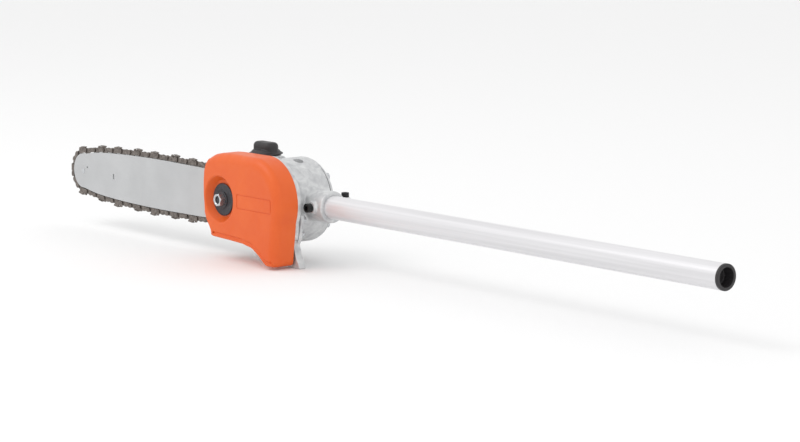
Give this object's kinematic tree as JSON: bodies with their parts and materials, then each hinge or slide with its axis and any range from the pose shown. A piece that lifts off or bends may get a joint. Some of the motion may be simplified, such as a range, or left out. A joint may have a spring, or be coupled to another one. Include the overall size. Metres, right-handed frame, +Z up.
{
  "type": "pole saw attachment",
  "caption": "Gear head with sprocket cover, guide bar, saw chain and limb hook, clamped on one plain tube that carries its drive shaft.",
  "frame": {"origin": "middle of the underside of the bounding box", "axes": "+X along the tube towards its free end, -X towards the nose of the bar, -Y towards the sprocket cover, +Z up towards the oil cap"},
  "size_m": [1.0412, 0.0952, 0.1301],
  "materials": {
    "cast_aluminium": "raw die-cast aluminium",
    "tube_aluminium": "satin bright tube",
    "orange_plastic": "satin moulded plastic",
    "black_plastic": "matt moulded plastic",
    "bar_steel": "satin ground steel",
    "chain_steel": "dark browned steel",
    "dark_steel": "dark phosphated steel",
    "zinc_steel": "bright zinc plate",
    "gear_steel": "machined steel",
    "black_screw": "black oxide",
    "rubber": "matt rubber",
    "clear_hose": "amber hose"
  },
  "bodies": {
    "head": {"gear_housing": "cast_aluminium", "housing_lid": "cast_aluminium", "lid_gasket": "rubber", "lid_screw_1": "zinc_steel", "lid_screw_2": "zinc_steel", "lid_screw_3": "zinc_steel", "lid_screw_4": "zinc_steel", "oil_tank": "cast_aluminium", "tank_screw_1": "zinc_steel", "tank_screw_2": "zinc_steel", "oil_filter": "rubber", "oil_hose": "clear_hose", "oil_pump": "dark_steel", "limb_hook": "cast_aluminium", "hook_screw_1": "zinc_steel", "hook_screw_2": "zinc_steel", "tube": "tube_aluminium", "tube_bush_1": "rubber", "tube_bush_2": "rubber", "tube_bush_3": "rubber", "lock_screw": "black_screw", "clamp_screw": "black_screw", "grease_plug": "dark_steel", "sprocket_cover": "orange_plastic", "bar_stud": "dark_steel", "pinion_bearing_1": "zinc_steel", "pinion_bearing_2": "zinc_steel", "pinion_circlip": "dark_steel", "output_bearing_front": "zinc_steel", "output_bearing_rear": "zinc_steel", "output_seal": "rubber"},
    "drive": {"drive_shaft": "gear_steel", "bevel_pinion": "gear_steel"},
    "output": {"output_shaft": "gear_steel", "bevel_gear": "gear_steel", "drive_sprocket": "dark_steel", "sprocket_washer": "zinc_steel", "sprocket_collar": "dark_steel", "shaft_clip": "zinc_steel"},
    "bar": {"guide_bar": "bar_steel", "nose_rivet": "zinc_steel", "tension_block": "zinc_steel", "saw_chain": "chain_steel"},
    "nose": {"nose_sprocket": "dark_steel"},
    "tensioner": {"tension_screw": "zinc_steel"},
    "washer": {"bar_washer": "dark_steel"},
    "nut": {"bar_nut": "zinc_steel"},
    "filler_seal": {"oil_cap_seal": "rubber"},
    "filler_cap": {"oil_cap": "black_plastic"},
    "end_cap": {"tube_end_cap": "black_plastic"}
  },
  "joints": [
    {"name": "input_spin", "type": "hinge", "parent": "head", "child": "drive", "pos_m": [-0.13039, 0.01635, 0.067], "axis": [1, 0, 0], "continuous": true, "deforming": ["saw_chain"]},
    {"name": "output_spin", "type": "hinge", "parent": "head", "child": "output", "pos_m": [-0.13039, -0.02165, 0.067], "axis": [0, 1, 0], "continuous": true},
    {"name": "bar_tension", "type": "slide", "parent": "head", "child": "bar", "axis": [-1, 0, 0], "range_m": [-0.001, 0.004], "deforming": ["saw_chain"]},
    {"name": "tension_turn", "type": "hinge", "parent": "head", "child": "tensioner", "pos_m": [-0.18539, -0.01425, 0.0824], "axis": [1, 0, 0], "range_deg": [-451, 1801]},
    {"name": "nose_spin", "type": "hinge", "parent": "bar", "child": "nose", "pos_m": [-0.49111, -0.02165, 0.067], "axis": [0, 1, 0], "continuous": true},
    {"name": "nut_lift", "type": "slide", "parent": "head", "child": "washer", "axis": [0, -1, 0], "range_m": [0, 0.0075]},
    {"name": "nut_turn", "type": "hinge", "parent": "washer", "child": "nut", "pos_m": [-0.18239, -0.04365, 0.067], "axis": [0, -1, 0], "range_deg": [0, 2161]},
    {"name": "cap_lift", "type": "slide", "parent": "head", "child": "filler_seal", "axis": [0, 0, 1], "range_m": [0, 0.009]},
    {"name": "cap_turn", "type": "hinge", "parent": "filler_seal", "child": "filler_cap", "pos_m": [-0.16139, 0.00485, 0.122], "axis": [0, 0, 1], "range_deg": [0, 1080]},
    {"name": "end_cap_pull", "type": "slide", "parent": "head", "child": "end_cap", "axis": [1, 0, 0], "range_m": [0, 0.03]}
  ],
  "couplings": [
    {"joint": "output_spin", "follows": "input_spin", "ratio": 0.66667},
    {"joint": "nose_spin", "follows": "input_spin", "ratio": 0.5},
    {"joint": "tension_turn", "follows": "bar_tension", "rad_per_m": 7854},
    {"joint": "nut_turn", "follows": "nut_lift", "rad_per_m": 5026.6},
    {"joint": "cap_lift", "follows": "cap_turn", "m_per_rad": 0.00047746}
  ]
}
